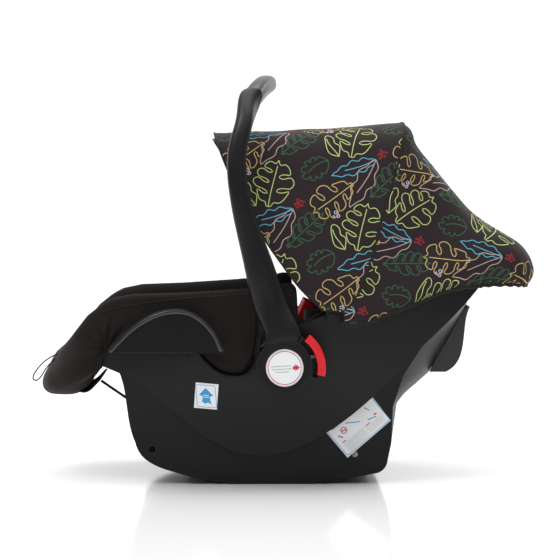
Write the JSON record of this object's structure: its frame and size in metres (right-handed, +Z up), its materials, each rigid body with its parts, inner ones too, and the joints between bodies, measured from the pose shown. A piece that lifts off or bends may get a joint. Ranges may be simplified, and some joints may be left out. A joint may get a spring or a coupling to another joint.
{
  "type": "infant car seat",
  "caption": "Rear-facing infant carrier: moulded shell with padded cover, harness, turning carry handle with release buttons, and a folding fabric canopy.",
  "frame": {"origin": "on the floor under the middle of the seat's bounding box, measured without the drawstring loop", "axes": "+X towards the head end, +Z up, the seat is symmetric about the plane Y = 0"},
  "size_m": [0.6921, 0.445, 0.5603],
  "materials": {
    "shell_plastic": "fine grained black polypropylene",
    "dark_plastic": "satin black moulding",
    "hook_plastic": "grained dark grey moulding",
    "bar_steel": "plain bright steel",
    "hub_label": null,
    "red_button": "glossy red moulding",
    "canopy_fabric": "plain woven polyester with a leaf outline print",
    "cover_fabric": "soft dark brown-black knitted cover over foam",
    "webbing": "ribbed black webbing and elastic",
    "label_film": null
  },
  "bodies": {
    "seat": {"shell": "shell_plastic", "belt_guide_right": "dark_plastic", "belt_guide_left": "dark_plastic", "rear_belt_hook": "hook_plastic", "front_latch_bar": "bar_steel", "rear_latch_bar": "bar_steel", "hub_base_right": "dark_plastic", "hub_base_left": "dark_plastic", "hub_bolt_right": "bar_steel", "hub_bolt_left": "bar_steel", "canopy_pivot_right": "dark_plastic", "canopy_pivot_left": "dark_plastic", "canopy_skirt": "canopy_fabric", "cover_side_right": "cover_fabric", "cover_side_left": "cover_fabric", "foot_roll": "cover_fabric", "cover_flap": "cover_fabric", "elastic_strap_right": "webbing", "elastic_strap_left": "webbing", "cord_loop": "webbing", "seat_pad": "cover_fabric", "back_pad": "cover_fabric", "side_bolster_right": "cover_fabric", "side_bolster_left": "cover_fabric", "head_pillow_right": "cover_fabric", "head_pillow_left": "cover_fabric", "shoulder_strap_right": "webbing", "shoulder_strap_left": "webbing", "shoulder_pad_right": "cover_fabric", "shoulder_pad_left": "cover_fabric", "lap_strap_right": "webbing", "lap_strap_left": "webbing", "crotch_strap": "webbing", "buckle_body": "dark_plastic", "buckle_tongue_right": "dark_plastic", "buckle_tongue_left": "dark_plastic", "buckle_spring": "bar_steel", "adjuster_housing": "dark_plastic", "arrow_label": "label_film", "instruction_label": "label_film"},
    "handle": {"handle_arm_right": "dark_plastic", "handle_arm_left": "dark_plastic", "handle_crossbar": "dark_plastic", "hub_cap_right": "dark_plastic", "hub_cap_left": "dark_plastic", "hub_label_right": "hub_label", "hub_label_left": "hub_label", "button_spring_right": "bar_steel", "button_spring_left": "bar_steel"},
    "button_right": {"release_button_right": "red_button"},
    "button_left": {"release_button_left": "red_button"},
    "canopy_rear": {"canopy_rear_bow": "dark_plastic", "canopy_rear_panel": "canopy_fabric"},
    "canopy_front": {"canopy_front_bow": "dark_plastic", "canopy_front_panel": "canopy_fabric"},
    "buckle_release": {"buckle_button": "red_button"},
    "adjuster": {"adjuster_lever": "red_button"}
  },
  "joints": [
    {"name": "handle_turn", "type": "hinge", "parent": "seat", "child": "handle", "pos_m": [-0.005, 0, 0.164], "axis": [0, 1, 0], "range_deg": [-95, 105]},
    {"name": "release_right", "type": "slide", "parent": "handle", "child": "button_right", "axis": [-0.9397, 0, -0.342], "range_m": [0, 0.005], "stiffness_N_per_m": 1200, "springref_m": -0.003, "deforming": ["button_spring_right"]},
    {"name": "release_left", "type": "slide", "parent": "handle", "child": "button_left", "axis": [-0.9397, 0, -0.342], "range_m": [0, 0.005], "stiffness_N_per_m": 1200, "springref_m": -0.003, "deforming": ["button_spring_left"]},
    {"name": "canopy_rear_fold", "type": "hinge", "parent": "seat", "child": "canopy_rear", "pos_m": [0.059, 0, 0.227], "axis": [0, 1, 0], "range_deg": [0, 30], "deforming": ["canopy_rear_panel"]},
    {"name": "canopy_front_fold", "type": "hinge", "parent": "canopy_rear", "child": "canopy_front", "pos_m": [0.059, 0, 0.227], "axis": [0, 1, 0], "range_deg": [0, 38], "deforming": ["canopy_front_panel"]},
    {"name": "buckle_press", "type": "slide", "parent": "seat", "child": "buckle_release", "axis": [-0.9063, 0, 0.4226], "range_m": [0, 0.0035], "stiffness_N_per_m": 1500, "springref_m": -0.002, "deforming": ["buckle_spring"]},
    {"name": "adjuster_lift", "type": "hinge", "parent": "seat", "child": "adjuster", "pos_m": [-0.16955, 0, 0.12365], "axis": [0, 1, 0], "range_deg": [0, 25]}
  ]
}
